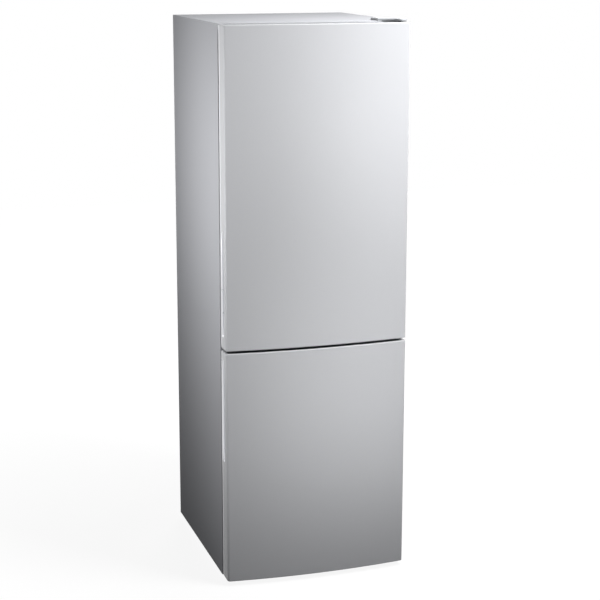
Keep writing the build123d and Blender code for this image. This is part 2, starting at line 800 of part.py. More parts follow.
for i in (-1, 1):
    for j in (-1, 1):
        spot = Pos(pot_x + i * (pot_foot_half - grommet_inset), pot_y + j * (pot_foot_depth - grommet_inset))
        ring = spot * RegularPolygon(grommet_radius, grommet_sides)
        grommets.append(up(ring, floor_z + trim_gap, plate_low - trim_gap, taper=grommet_draft))

tray_low = pot_top + fit_gap
tray_high = tray_low + tray_height
tray_plan = rect(around(pot_x, tray_half), around(pot_y, tray_half_depth))
tray_room = rect(around(pot_x, tray_half - tray_wall), around(pot_y, tray_half_depth - tray_wall))
drip_tray = up(chamfer(tray_plan.vertices(), tray_bevel), tray_low, tray_high)
drip_tray -= up(chamfer(tray_room.vertices(), tray_bevel), tray_low + tray_wall, tray_high + cut_over)

condenser_y = pot_y + condenser_back
condenser_left = -half_width + condenser_side_gap + condenser_bend
condenser_right = pot_x - pot_foot_half - condenser_pot_gap - condenser_bend
condenser_low = floor_z + condenser_rise
bend_rise = condenser_pitch * bend_share
coil_points = []
for row in range(condenser_rows):
    z = condenser_low + row * condenser_pitch
    way = 1 if row % 2 == 0 else -1
    ends = (condenser_left, condenser_right)[::way]
    coil_points += [(ends[0], condenser_y, z), (ends[1], condenser_y, z)]
    if row < condenser_rows - 1:
        bend_x = ends[1] + way * condenser_bend
        for height in (z + bend_rise, z + condenser_pitch - bend_rise):
            coil_points.append((bend_x, condenser_y, height))
coil_start = Plane(origin=coil_points[0], z_dir=(1, 0, 0))
tube_ring = coil_start * RegularPolygon(condenser_tube, tube_sides)
condenser_coil = sweep(tube_ring, path=Polyline(*coil_points), transition=Transition.RIGHT)
clip_top = condenser_low + (condenser_rows - 1) * condenser_pitch + condenser_bend
for x in (condenser_left + clip_inset, condenser_right - clip_inset):
    condenser_coil += block(around(x, clip_width / 2), around(condenser_y, clip_sheet / 2),
                            (floor_z + trim_gap, clip_top))

cover_plate = rect((-inner_half + fit_gap, inner_half - fit_gap), (floor_z + fit_gap, machine_top - fit_gap))
compressor_cover = back(cover_plate, back_sheet_y - cover_sheet, back_sheet_y)
through_cover = (back_sheet_y - cover_sheet - cut_over, back_sheet_y + cut_over)
for row in range(louvre_rows):
    louvre_low = floor_z + louvre_rise + row * louvre_pitch
    for side in (-1, 1):
        middle = side * louvre_spacing / 2
        slot = rect(around(middle, louvre_length / 2), (louvre_low, louvre_low + louvre_height))
        compressor_cover -= back(slot, *through_cover)
gland_spot = Pos(-half_width + gland_from_side, machine_top - gland_from_top)
compressor_cover -= back(gland_spot * RegularPolygon(gland_neck + fit_gap, gland_sides), *through_cover)
gland_far = back_y - fit_gap
gland_near = gland_far - gland_length
cord_gland = back(gland_spot * RegularPolygon(gland_radius, gland_sides), gland_far - gland_head, gland_far)
cord_gland += back(gland_spot * RegularPolygon(gland_neck, gland_sides), gland_near, gland_far - gland_head)
cord_gland -= back(gland_spot * Circle(gland_bore), gland_near - cut_over, back_y)

# Levelling feet turn in the base plate's nuts, and rollers turn on the ears' pins.
foot = up(RegularPolygon(foot_radius, foot_sides), 0, foot_pad)
foot = chamfer(foot.faces().sort_by(Axis.Z)[-1].edges(), foot_bevel)
stud = RegularPolygon(foot_thread, foot_thread_sides)
foot += up(stud, foot_pad - foot_bevel, case_bottom + nut_height + stud_proud)
tread = RegularPolygon(roller_radius, roller_sides)
tyre = Pos(roller_y, roller_radius) * (tread - Circle(roller_pin + pin_clearance))
rollers = []
for side in (-1, 1):
    rollers.append(across(tyre, *around(side * roller_x, roller_width / 2)))


def tub_plan(half, near, far, corner):
    """Plan of a drawer's tub: square to its front plate, bevelled at the rear."""
    plan = rect((-half, half), (near, far))
    return chamfer(plan.vertices().sort_by(Axis.Y)[-2:], corner)


def bevelled(solid, near, size):
    """Bottom edges of a tub bevelled, but not where it meets the front plate."""
    floor_edges = solid.faces().sort_by(Axis.Z)[0].edges()
    return chamfer([e for e in floor_edges if e.center().Y > near + cut_over], size)


def drawer(half, near, depth, low, high, rim):
    """Moulded tub with bevelled floor edges, a carrying rim and a front plate with a finger lip."""
    far = near + depth
    wall_half = half - tub_side_gap
    plate_far = near + front_plate
    wall_cut = bevel_share * tub_wall
    shell = up(tub_plan(wall_half, plate_far, far, tub_corner), low, high)
    shell = bevelled(shell, plate_far, tub_bevel)
    room_near = plate_far + tub_wall
    room_plan = tub_plan(wall_half - tub_wall, room_near, far - tub_wall, tub_corner - wall_cut)
    shell -= bevelled(up(room_plan, low + tub_wall, high), room_near, tub_bevel - wall_cut)
    plate_low = low + plate_rise
    lip_near = near - drawer_lip
    lip_low = high - 3 * front_plate
    front = make_face(Polyline(
        (near, plate_low), (plate_far, plate_low), (plate_far, high), (lip_near, high), (lip_near, lip_low),
        (lip_near + front_plate, lip_low), (lip_near + front_plate, high - front_plate),
        (near, high - front_plate), close=True))
    front_trim = rect((-half, half), (plate_low, high))
    front_trim = chamfer(front_trim.vertices().sort_by(Axis.Y)[:2], tub_bevel)
    shell += across(front, -half, half) & back(front_trim, lip_near - cut_over, far)
    if rim:
        for side in (-1, 1):
            edge = on_side(side, wall_half - tub_wall / 2, half + rim)
            shell += block(edge, (plate_far + tub_rim_start, far - tub_corner), (high - tub_wall, high))
    return shell


# Vegetable drawers stand on the fridge floor, and freezer drawers hang by their rims on the ledges.
crisper_half = (2 * fridge_half - 3 * crisper_gap) / 4
crisper_depth = shelf_back_y - shelf_front_y - drawer_lip - crisper_rear_gap
crisper_x = crisper_half + crisper_gap / 2
crisper = drawer(crisper_half - crisper_side_gap, shelf_front_y + drawer_lip, crisper_depth,
                 fridge_floor + seat_gap, crisper_top - crisper_top_gap, 0)
crisper_right = Pos(crisper_x, 0, 0) * crisper
crisper_left = Pos(-crisper_x, 0, 0) * crisper
tub_half = freezer_half - tub_rim - tub_rim_gap
freezer_drawers = []
for top, depth, low in zip(drawer_tops, drawer_depths, drawer_lows):
    freezer_drawers.append(drawer(tub_half, drawer_front_y, depth, low, top, tub_rim))


def door_plan(inset, rear_y):
    """Outline of a door in plan, drawn in from the outside: straight sides and a bowed front."""
    half = half_width - inset
    radius = bow_radius - inset
    edge_y = bow_centre_y - sqrt(radius ** 2 - half ** 2)
    sides = Polyline((-half, edge_y), (-half, rear_y), (half, rear_y), (half, edge_y))
    bow = ThreePointArc((half, edge_y), (0, bow_centre_y - radius), (-half, edge_y))
    face = make_face(sides + bow)
    return fillet(face.vertices().sort_by(Axis.Y)[:2], door_edge_radius - inset)


def grip_slot(mid, grow, depth):
    """Drafted pocket with tapering ends, sunk in the left edge of a door."""
    half = grip_length / 2 + grow
    wide = grip_width / 2 + grow
    tip = grip_tip_width / 2 + grow
    shoulder = half - grip_tip_length
    face = make_face(Polyline((-wide, -shoulder), (-tip, -half), (tip, -half), (wide, -shoulder),
                              (wide, shoulder), (tip, half), (-tip, half), (-wide, shoulder), close=True))
    door_edge = Plane.YZ.offset(-half_width)
    pocket = extrude(door_edge * Pos(door_rear_y - grip_from_rear, mid) * face, amount=depth)
    return draft(pocket.faces().sort_by(Axis.X)[1:-1], door_edge, grip_draft)


def frame(half_in, low, high, width, near, far):
    """Rectangular frame standing on a door's inside."""
    ring = rect((-half_in, half_in), (low, high))
    ring -= rect((-half_in + width, half_in - width), (low + width, high - width))
    return back(ring, near, far)


def rear_bevelled(solid, size):
    """Rear edges of a frame bevelled."""
    return chamfer(solid.faces().sort_by(Axis.Y)[-1].edges(), size)


def door(low, high, half, floor, roof, dyke_depth, grip_mid):
    """All fixed pieces of a door: skin, foam, liner, caps, gasket and grip."""
    t = liner_sheet
    over = (low - cut_over, high + cut_over)
    before = -total_depth
    trim = back(rect((-half_width, half_width), (low, high), door_end_radius), before, front_y)
    skin = up(door_plan(0, door_rear_y), low, high) & trim
    skin -= up(door_plan(door_sheet, door_rear_y - door_sheet), *over)
    window = half_width - door_return
    skin -= block((-window, window), (door_rear_y - 2 * door_sheet, door_rear_y + cut_over), over)
    skin -= grip_slot(grip_mid, 0, 4 * door_sheet)

    cap_inset = door_sheet + fit_gap
    filling = door_plan(cap_inset, door_rear_y - cap_inset)
    fill_rear_y = door_rear_y - t - fit_gap
    fill_room = block((-half_width, half_width), (before, fill_rear_y), (low, high))
    cap_face = rect((-half_width + cap_inset, half_width - cap_inset), (low + cap_sink, high - cap_sink))
    cap_trim = back(chamfer(cap_face.vertices(), cap_bevel), before, fill_rear_y)
    bore = disc(pin_radius + pin_clearance, pivot_x, pivot_y, *over)
    bottom_cap = (up(filling, low, low + cap_height) & cap_trim) - bore
    top_cap = (up(filling, high - cap_height, high) & cap_trim) - bore

    grip = grip_slot(grip_mid, -fit_gap, grip_depth + grip_floor)
    grip -= grip_slot(grip_mid, -fit_gap - grip_wall, grip_depth)

    core = up(filling, low + cap_height + fit_gap, high - cap_height - fit_gap) & fill_room
    pocket_right = -half_width + grip_depth + grip_floor + fit_gap
    core -= block((-half_width, pocket_right), around(door_rear_y - grip_from_rear, grip_width / 2),
                  around(grip_mid, grip_length / 2))

    plate_half = window - fit_gap
    sheet = rect((-plate_half, plate_half), (low + plate_end_gap, high - plate_end_gap), plate_radius)
    inner = back(sheet, door_rear_y - t, door_rear_y)
    frame_half = half - dyke_side_gap
    frame_low = floor + dyke_end_gap
    frame_high = roof - dyke_end_gap
    far = door_rear_y + dyke_depth
    raised = frame(frame_half, frame_low, frame_high, dyke_width, door_rear_y - t / 2, far)
    inner += rear_bevelled(raised, dyke_bevel)
    hollow = frame(frame_half - t, frame_low + t, frame_high - t, dyke_width - 2 * t,
                   door_rear_y - 2 * t, far - t)
    inner -= rear_bevelled(hollow, dyke_bevel - bevel_share * t)

    gasket = frame(half_width - gasket_side_inset, low + gasket_end_inset, high - gasket_end_inset,
                   gasket_width, door_rear_y + touch_gap, front_y - gasket_clearance)
    gasket = rear_bevelled(gasket, gasket_bevel)

    bar_out = frame_half - t - fit_gap
    bar_in = frame_half - dyke_width + t + fit_gap
    bar_y = (fill_rear_y, far - t - dyke_bevel)
    bar_end = t + fit_gap
    bars = [core]
    for side in (-1, 1):
        bars.append(block(on_side(side, bar_in, bar_out), bar_y, (frame_low + bar_end, frame_high - bar_end)))
    for start, end in ((frame_low, frame_low + dyke_width), (frame_high - dyke_width, frame_high)):
        bars.append(block((-bar_in, bar_in), bar_y, (start + bar_end, end - bar_end)))
    return {"skin": skin, "foam": bars, "liner": inner, "top_cap": top_cap, "bottom_cap": bottom_cap,
            "gasket": gasket, "grip": grip}


upper_grip_mid = upper_bottom + upper_grip_from_seam + grip_length / 2
lower_grip_mid = lower_top - lower_grip_from_seam - grip_length / 2
upper = door(upper_bottom, upper_top, fridge_half, fridge_floor, fridge_roof, fridge_dyke_depth,
             upper_grip_mid)
lower = door(lower_bottom, lower_top, freezer_half, freezer_floor, freezer_roof, freezer_dyke_depth,
             lower_grip_mid)

# Door bins hang by the hooks at their ends on lugs of the upper door's raised frame.
frame_inside = fridge_half - dyke_side_gap - dyke_width
bin_half = frame_inside - bin_rim - seat_gap - fit_gap
bin_near = door_rear_y + seat_gap
bin_far = bin_near + bin_depth
bottle_bin_low = fridge_floor + bottle_bin_rise
second_bin_low = bottle_bin_low + bottle_room
bin_pitch = (fridge_roof - top_bin_drop - second_bin_low) / (upper_bin_count - 1)
bin_lows = [bottle_bin_low] + [second_bin_low + step * bin_pitch for step in range(upper_bin_count)]
bin_heights = [bottle_bin_height] + upper_bin_count * [upper_bin_height]


def bin_plan(wall):
    """Plan of a bin, drawn in by a wall: square against the door, rounded towards the shelves."""
    plan = rect((-bin_half + wall, bin_half - wall), (bin_near + wall, bin_far - wall))
    return fillet(plan.vertices().sort_by(Axis.Y)[-2:], bin_corner - wall)


bins = []
for low, height in zip(bin_lows, bin_heights):
    high = low + height
    shell = up(bin_plan(0), low, high)
    shell -= up(bin_plan(bin_wall), low + bin_wall, high + cut_over)
    hook_low = high - bin_rim_height
    lug_high = hook_low - seat_gap
    hook_y = (bin_near + hook_set_back, bin_near + hook_set_back + hook_length)
    lug_y = (bin_near + lug_set_back, bin_near + lug_set_back + lug_length)
    for side in (-1, 1):
        hook_x = on_side(side, bin_half - bin_wall / 2, frame_inside - seat_gap)
        shell += block(hook_x, hook_y, (hook_low, high))
        lug_x = on_side(side, frame_inside - bin_rim, frame_inside + liner_sheet / 4)
        upper["liner"] += block(lug_x, lug_y, (lug_high - lug_height, lug_high))
    bins.append(shell)

save("side_panel_left", side_panel_left)
save("side_panel_right", side_panel_right)
save("top_panel", top_panel)
save("back_panel", back_panel)
save("base_plate", base_plate)
save("centre_rail", centre_rail)
save("insulation_foam", *foam)
save("fridge_liner", fridge_liner)
save("freezer_liner", freezer_liner)
save("top_hinge", top_hinge)
save("top_hinge_cover", top_hinge_cover)
save("middle_hinge", middle_hinge)
save("bottom_hinge", bottom_hinge)
save("hinge_screws", *screws)
save("compressor", compressor)
save("compressor_grommets", *grommets)
save("drip_tray", drip_tray)
save("condenser_coil", condenser_coil)
save("compressor_cover", compressor_cover)
save("cord_gland", cord_gland)
save("evaporator", evaporator)
save("evaporator_cover", evaporator_cover)
save("fan_motor", fan_motor)
save("evaporator_fan", evaporator_fan)
save("air_duct_cover", air_duct_cover)
save("control_box", control_box)
save("lamp_lens", lamp_lens)
save("thermostat_dial", thermostat_dial)
for number, solid in enumerate(shelf_glass, 1):
    save("shelf_glass_%d" % number, solid)
save("shelf_trims", *shelf_trims)
save("front_foot_left", Pos(-foot_x, foot_y, 0) * foot)
save("front_foot_right", Pos(foot_x, foot_y, 0) * foot)
save("rear_roller_left", rollers[0])
save("rear_roller_right", rollers[1])
save("crisper_left", crisper_left)
save("crisper_right", crisper_right)
for name, solid in zip(("top", "middle", "bottom"), freezer_drawers):
    save("freezer_drawer_" + name, solid)
for prefix, pieces in (("upper_door_", upper), ("lower_door_", lower)):
    for name, solid in pieces.items():
        save(prefix + name, *(solid if isinstance(solid, list) else [solid]))
for number, solid in enumerate(bins, 1):
    save("door_bin_%d" % number, solid)
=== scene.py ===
import json
from math import cos, pi, radians, sin, sqrt

import bmesh
import bpy
from mathutils import Matrix, Vector


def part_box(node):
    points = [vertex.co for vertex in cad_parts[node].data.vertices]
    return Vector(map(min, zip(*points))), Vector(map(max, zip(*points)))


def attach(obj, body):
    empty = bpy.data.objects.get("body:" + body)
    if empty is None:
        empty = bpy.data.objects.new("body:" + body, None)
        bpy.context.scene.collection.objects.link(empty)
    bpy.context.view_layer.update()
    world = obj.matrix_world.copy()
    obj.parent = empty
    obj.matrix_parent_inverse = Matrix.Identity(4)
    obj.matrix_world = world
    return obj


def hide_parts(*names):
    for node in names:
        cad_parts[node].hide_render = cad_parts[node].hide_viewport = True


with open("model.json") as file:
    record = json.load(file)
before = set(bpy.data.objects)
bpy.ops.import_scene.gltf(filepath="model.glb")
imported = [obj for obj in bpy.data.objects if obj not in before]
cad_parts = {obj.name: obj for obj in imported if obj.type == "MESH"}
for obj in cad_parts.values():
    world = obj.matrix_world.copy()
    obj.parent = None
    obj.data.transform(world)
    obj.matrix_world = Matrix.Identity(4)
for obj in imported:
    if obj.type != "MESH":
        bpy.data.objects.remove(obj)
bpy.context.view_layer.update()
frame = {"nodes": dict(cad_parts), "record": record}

MM = 0.001
nodes = frame["nodes"]
bodies = frame["record"]["behaviour"]["bodies"]
body_of = {node: body for body, members in bodies.items() for node in members}
scene = bpy.context.scene
scene.view_settings.view_transform = "Standard"

# Places of a colour mix's sockets: its share, its two colours and its result.
MIX_SHARE, MIX_FIRST, MIX_SECOND, MIXED = 0, 6, 7, 2


def linear(code):
    """Linear colour from an sRGB hex value."""
    parts = [int(code[i:i + 2], 16) / 255 for i in (1, 3, 5)]
    return (*[p / 12.92 if p <= 0.04045 else ((p + 0.055) / 1.055) ** 2.4 for p in parts], 1)


def add(tree, kind, inputs=None, **settings):
    """Add one shader node with its settings, and set or link its inputs."""
    node = tree.nodes.new("ShaderNode" + kind)
    for name, value in settings.items():
        setattr(node, name, value)
    for name, value in (inputs or {}).items():
        if isinstance(value, bpy.types.NodeSocket):
            tree.links.new(value, node.inputs[name])
        else:
            node.inputs[name].default_value = value
    return node


def start_finish(name, inputs):
    """Start a finish: its shader with its constants, and the place on the piece in metres."""
    finish = bpy.data.materials.new(name)
    finish.use_nodes = True
    tree = finish.node_tree
    tree.nodes.clear()
    shader = add(tree, "BsdfPrincipled", inputs)
    add(tree, "OutputMaterial", {"Surface": shader.outputs[0]})
    return finish, tree, shader.inputs, add(tree, "TexCoord").outputs["Object"]


def per_metre(size):
    """Pattern scale for a real size in millimetres."""
    return 1 / (size * MM)


def silver_coat(name, light, dark, gloss):
    """Steel sheet, coil-coated in silver polyester: satin, with a flake sparkle and a drift in gloss."""
    finish, tree, shader, place = start_finish(name, {
        "Metallic": 0.05, "IOR": 1.5, "Specular IOR Level": gloss})
    # Flakes are 0.03 mm across, and drawn at 0.8 mm so that they show.
    flake = add(tree, "TexNoise", {"Vector": place, "Scale": per_metre(0.8), "Detail": 2}).outputs["Fac"]
    share = add(tree, "Math", {0: flake, 1: 0.8, 2: 0.1}, operation="MULTIPLY_ADD").outputs[0]
    tones = {MIX_SHARE: share, MIX_FIRST: linear(dark), MIX_SECOND: linear(light)}
    colour = add(tree, "Mix", tones, data_type="RGBA").outputs[MIXED]
    tree.links.new(colour, shader["Base Color"])
    drift = add(tree, "TexNoise", {"Vector": place, "Scale": per_metre(160), "Detail": 1}).outputs["Fac"]
    rough = add(tree, "MapRange", {"Value": drift, "To Min": 0.36, "To Max": 0.46}).outputs[0]
    tree.links.new(rough, shader["Roughness"])
    # Orange peel of a roller coat, 1.5 mm from crest to crest.
    peel = add(tree, "TexNoise", {"Vector": place, "Scale": per_metre(1.5), "Detail": 0}).outputs["Fac"]
    bump = add(tree, "Bump", {"Height": peel, "Strength": 0.05, "Distance": 0.05 * MM}).outputs[0]
    tree.links.new(bump, shader["Normal"])
    return finish


def grey_back_sheet():
    """Galvanised steel under a thin grey wash coat: the zinc spangle shows through as faint facets."""
    finish, tree, shader, place = start_finish("wash_coated_galvanised_steel", {
        "Metallic": 0.08, "IOR": 1.5, "Specular IOR Level": 0.2})
    spangle = add(tree, "TexVoronoi", {"Vector": place, "Scale": per_metre(14)}).outputs["Color"]
    facet = add(tree, "RGBToBW", {"Color": spangle}).outputs[0]
    tones = {MIX_SHARE: facet, MIX_FIRST: linear("#94969A"), MIX_SECOND: linear("#9DA0A3")}
    colour = add(tree, "Mix", tones, data_type="RGBA").outputs[MIXED]
    tree.links.new(colour, shader["Base Color"])
    rough = add(tree, "MapRange", {"Value": facet, "To Min": 0.5, "To Max": 0.62}).outputs[0]
    tree.links.new(rough, shader["Roughness"])
    return finish


def zinc_plate():
    """Pressed steel, bright zinc plated: a cool metal sheen, clouded by the passivation."""
    finish, tree, shader, place = start_finish("zinc_plated_steel", {"Metallic": 1})
    cloud = add(tree, "TexNoise", {"Vector": place, "Scale": per_metre(12), "Detail": 3}).outputs["Fac"]
    tones = {MIX_SHARE: cloud, MIX_FIRST: linear("#A6A8AA"), MIX_SECOND: linear("#C9CACB")}
    colour = add(tree, "Mix", tones, data_type="RGBA").outputs[MIXED]
    tree.links.new(colour, shader["Base Color"])
    rough = add(tree, "MapRange", {"Value": cloud, "To Min": 0.28, "To Max": 0.45}).outputs[0]
    tree.links.new(rough, shader["Roughness"])
    return finish


def moulded_plastic(name, light, dark, dullness):
    """Injection-moulded ABS: one colour with a spark-eroded grain that breaks up its sheen."""
    finish, tree, shader, place = start_finish(name, {"IOR": 1.53})
    # The grain of the mould is 0.1 to 0.3 mm, and drawn at 0.9 mm so that it shows.
    grain = add(tree, "TexNoise", {"Vector": place, "Scale": per_metre(0.9), "Detail": 2}).outputs["Fac"]
    tones = {MIX_SHARE: grain, MIX_FIRST: linear(dark), MIX_SECOND: linear(light)}
    colour = add(tree, "Mix", tones, data_type="RGBA").outputs[MIXED]
    tree.links.new(colour, shader["Base Color"])
    flow = add(tree, "TexNoise", {"Vector": place, "Scale": per_metre(45), "Detail": 1}).outputs["Fac"]
    drift = 0.05
    rough = add(tree, "MapRange", {
        "Value": flow, "To Min": dullness - drift, "To Max": dullness + drift}).outputs[0]
    tree.links.new(rough, shader["Roughness"])
    bump = add(tree, "Bump", {"Height": grain, "Strength": 0.12, "Distance": 0.05 * MM}).outputs[0]
    tree.links.new(bump, shader["Normal"])
    return finish


def metallised_plastic():
    """ABS, metallised in a vacuum: a satin film that mirrors the room softly over the moulded grain."""
    finish, tree, shader, place = start_finish("satin_metallised_abs", {"Metallic": 1})
    cloud = add(tree, "TexNoise", {"Vector": place, "Scale": per_metre(25), "Detail": 2}).outputs["Fac"]
    tones = {MIX_SHARE: cloud, MIX_FIRST: linear("#D2D3D7"), MIX_SECOND: linear("#DEDFE2")}
    colour = add(tree, "Mix", tones, data_type="RGBA").outputs[MIXED]
    tree.links.new(colour, shader["Base Color"])
    rough = add(tree, "MapRange", {"Value": cloud, "To Min": 0.24, "To Max": 0.34}).outputs[0]
    tree.links.new(rough, shader["Roughness"])
    # The grain of the mould is 0.2 mm, and drawn at 0.9 mm so that it shows.
    grain = add(tree, "TexNoise", {"Vector": place, "Scale": per_metre(0.9), "Detail": 2}).outputs["Fac"]
    bump = add(tree, "Bump", {"Height": grain, "Strength": 0.02, "Distance": 0.02 * MM}).outputs[0]
    tree.links.new(bump, shader["Normal"])
    return finish


def formed_liner():
    """High-impact polystyrene sheet, vacuum-formed: soft gloss over gentle waves left by the mould."""
    finish, tree, shader, place = start_finish("vacuum_formed_polystyrene", {
        "IOR": 1.59, "Subsurface Weight": 0.06, "Subsurface Radius": (0.004, 0.004, 0.004)})
    drift = add(tree, "TexNoise", {"Vector": place, "Scale": per_metre(70), "Detail": 2}).outputs["Fac"]
    tones = {MIX_SHARE: drift, MIX_FIRST: linear("#E6E8E8"), MIX_SECOND: linear("#EFF0EF")}
    colour = add(tree, "Mix", tones, data_type="RGBA").outputs[MIXED]
    tree.links.new(colour, shader["Base Color"])
    rough = add(tree, "MapRange", {"Value": drift, "To Min": 0.26, "To Max": 0.38}).outputs[0]
    tree.links.new(rough, shader["Roughness"])
    waves = add(tree, "TexNoise", {"Vector": place, "Scale": per_metre(5), "Detail": 1}).outputs["Fac"]
    bump = add(tree, "Bump", {"Height": waves, "Strength": 0.06, "Distance": 0.1 * MM}).outputs[0]
    tree.links.new(bump, shader["Normal"])
    return finish


def clear_plastic():
    """Polystyrene, injection-moulded clear: a faint frost, a blue cast and slight flow marks."""
    finish, tree, shader, place = start_finish("clear_moulded_polystyrene", {
        "Base Color": linear("#F3F9FB"), "IOR": 1.59, "Transmission Weight": 0.75})
    flow = add(tree, "TexNoise", {"Vector": place, "Scale": per_metre(30), "Detail": 2}).outputs["Fac"]
    rough = add(tree, "MapRange", {"Value": flow, "To Min": 0.03, "To Max": 0.1}).outputs[0]
    tree.links.new(rough, shader["Roughness"])
    bump = add(tree, "Bump", {"Height": flow, "Strength": 0.05, "Distance": 0.3 * MM}).outputs[0]
    tree.links.new(bump, shader["Normal"])
    return finish


def tempered_glass():
    """Float glass, ground and tempered: clear through its face, sea green at its edge."""
    finish, tree, shader, place = start_finish("tempered_float_glass", {
        "IOR": 1.52, "Transmission Weight": 1})
    normal = add(tree, "NewGeometry").outputs["Normal"]
    upright = add(tree, "SeparateXYZ", {"Vector": normal}).outputs["Z"]
    flat = add(tree, "Math", {0: upright}, operation="ABSOLUTE").outputs[0]
    tones = {MIX_SHARE: flat, MIX_FIRST: linear("#7FB9A4"), MIX_SECOND: linear("#F2FAF6")}
    colour = add(tree, "Mix", tones, data_type="RGBA").outputs[MIXED]
    tree.links.new(colour, shader["Base Color"])
    # The ground edge is matt beside the polished faces.
    rough = add(tree, "MapRange", {"Value": flat, "To Min": 0.3, "To Max": 0.01}).outputs[0]
    tree.links.new(rough, shader["Roughness"])
    # Slight waves of the tempering, 90 mm from crest to crest.
    waves = add(tree, "TexNoise", {"Vector": place, "Scale": per_metre(90), "Detail": 1}).outputs["Fac"]
    bump = add(tree, "Bump", {"Height": waves, "Strength": 0.02, "Distance": 0.2 * MM}).outputs[0]
    tree.links.new(bump, shader["Normal"])
    return finish


def opal_lens():
    """Acrylic, moulded opal: milky, lit from inside, with prism ribs that spread the lamp's light."""
    finish, tree, shader, place = start_finish("opal_moulded_acrylic", {
        "Base Color": linear("#F4F3EE"), "IOR": 1.49, "Roughness": 0.32,
        "Emission Color": linear("#FFFAF3"), "Emission Strength": 45})
    # Ribs 3 mm apart, where a wave of scale 1 turns through 20 radians in a metre.
    wave_turn = 20
    rib_scale = per_metre(3) * 2 * pi / wave_turn
    ribs = add(tree, "TexWave", {"Vector": place, "Scale": rib_scale}, bands_direction="X").outputs["Fac"]
    bump = add(tree, "Bump", {"Height": ribs, "Strength": 0.5, "Distance": 0.6 * MM}).outputs[0]
    tree.links.new(bump, shader["Normal"])
    return finish


def soft_vinyl():
    """Plasticised vinyl, extruded: a dull grey seal with a fine mottle."""
    finish, tree, shader, place = start_finish("extruded_soft_vinyl", {"IOR": 1.53, "Sheen Weight": 0.05})
    mottle = add(tree, "TexNoise", {"Vector": place, "Scale": per_metre(2), "Detail": 2}).outputs["Fac"]
    tones = {MIX_SHARE: mottle, MIX_FIRST: linear("#85878A"), MIX_SECOND: linear("#97999C")}
    colour = add(tree, "Mix", tones, data_type="RGBA").outputs[MIXED]
    tree.links.new(colour, shader["Base Color"])
    rough = add(tree, "MapRange", {"Value": mottle, "To Min": 0.5, "To Max": 0.65}).outputs[0]
    tree.links.new(rough, shader["Roughness"])
    return finish


def foam_core():
    """Polyurethane, foamed in place: cream, with open cells on its skin."""
    finish, tree, shader, place = start_finish("rigid_polyurethane_foam", {"IOR": 1.45, "Roughness": 0.85})
    # Cells are 0.3 mm across, and drawn at 1.2 mm so that they show.
    cells = add(tree, "TexVoronoi", {"Vector": place, "Scale": per_metre(1.2)}).outputs["Distance"]
    tones = {MIX_SHARE: cells, MIX_FIRST: linear("#E3D3A2"), MIX_SECOND: linear("#C9B57E")}
    colour = add(tree, "Mix", tones, data_type="RGBA").outputs[MIXED]
    tree.links.new(colour, shader["Base Color"])
    bump = add(tree, "Bump", {"Height": cells, "Strength": 0.4, "Distance": 0.3 * MM}).outputs[0]
    tree.links.new(bump, shader["Normal"])
    return finish


def black_enamel():
    """Steel under black baked enamel: half gloss, clouded by small sags in the paint."""
    finish, tree, shader, place = start_finish("black_baked_enamel", {"IOR": 1.5})
    sags = add(tree, "TexNoise", {"Vector": place, "Scale": per_metre(14), "Detail": 3}).outputs["Fac"]
    tones = {MIX_SHARE: sags, MIX_FIRST: linear("#101113"), MIX_SECOND: linear("#1C1D20")}
    colour = add(tree, "Mix", tones, data_type="RGBA").outputs[MIXED]
    tree.links.new(colour, shader["Base Color"])
    rough = add(tree, "MapRange", {"Value": sags, "To Min": 0.25, "To Max": 0.45}).outputs[0]
    tree.links.new(rough, shader["Roughness"])
    return finish


def black_rubber():
    """Nitrile rubber, compression-moulded: matt black with a grey bloom."""
    finish, tree, shader, place = start_finish("moulded_nitrile_rubber", {"IOR": 1.52, "Roughness": 0.75})
    bloom = add(tree, "TexNoise", {"Vector": place, "Scale": per_metre(8), "Detail": 3}).outputs["Fac"]
    tones = {MIX_SHARE: bloom, MIX_FIRST: linear("#161616"), MIX_SECOND: linear("#2A2A29")}
    colour = add(tree, "Mix", tones, data_type="RGBA").outputs[MIXED]
    tree.links.new(colour, shader["Base Color"])
    return finish


def mill_aluminium():
    """Aluminium strip, mill-finished: pale metal with fine rolling lines along its length."""
    finish, tree, shader, place = start_finish("mill_finished_aluminium", {"Metallic": 1})
    # Rolling lines 30 mm long and 1 mm apart.
    rolling = add(tree, "Mapping", {"Vector": place, "Scale": (1, 1, 30)}).outputs[0]
    lines = add(tree, "TexNoise", {"Vector": rolling, "Scale": per_metre(30), "Detail": 3}).outputs["Fac"]
    tones = {MIX_SHARE: lines, MIX_FIRST: linear("#BDBFC2"), MIX_SECOND: linear("#D8D9DB")}
    colour = add(tree, "Mix", tones, data_type="RGBA").outputs[MIXED]
    tree.links.new(colour, shader["Base Color"])
    rough = add(tree, "MapRange", {"Value": lines, "To Min": 0.25, "To Max": 0.45}).outputs[0]
    tree.links.new(rough, shader["Roughness"])
    return finish


case_paint = silver_coat("silver_coil_coated_case", "#B9BABE", "#A5A6AA", 0.0)
door_paint = silver_coat("silver_coil_coated_door", "#C4C5C8", "#B2B3B6", 0.2)
back_sheet = grey_back_sheet()
zinc_steel = zinc_plate()
liner_white = formed_liner()
white_abs = moulded_plastic("white_moulded_abs", "#EFF0EF", "#E4E6E6", 0.36)
grey_abs = moulded_plastic("silver_grey_moulded_abs", "#A9ABAE", "#989A9D", 0.38)
# Pale silver for the strips on the doors' rear edges: its paleness paints the highlight that those edges
# catch.
painted_highlight_abs = moulded_plastic("pale_silver_abs_painted_highlight", "#E4E5E8", "#D8D9DC", 0.36)
mid_abs = moulded_plastic("mid_grey_moulded_abs", "#77797C", "#6A6C6F", 0.4)
dark_abs = moulded_plastic("charcoal_moulded_abs", "#3F4043", "#333437", 0.42)
grip_film = metallised_plastic()
clear_tub = clear_plastic()
shelf_pane = tempered_glass()
lamp_opal = opal_lens()
seal_vinyl = soft_vinyl()
cream_foam = foam_core()
pot_enamel = black_enamel()
mount_rubber = black_rubber()
fin_metal = mill_aluminium()

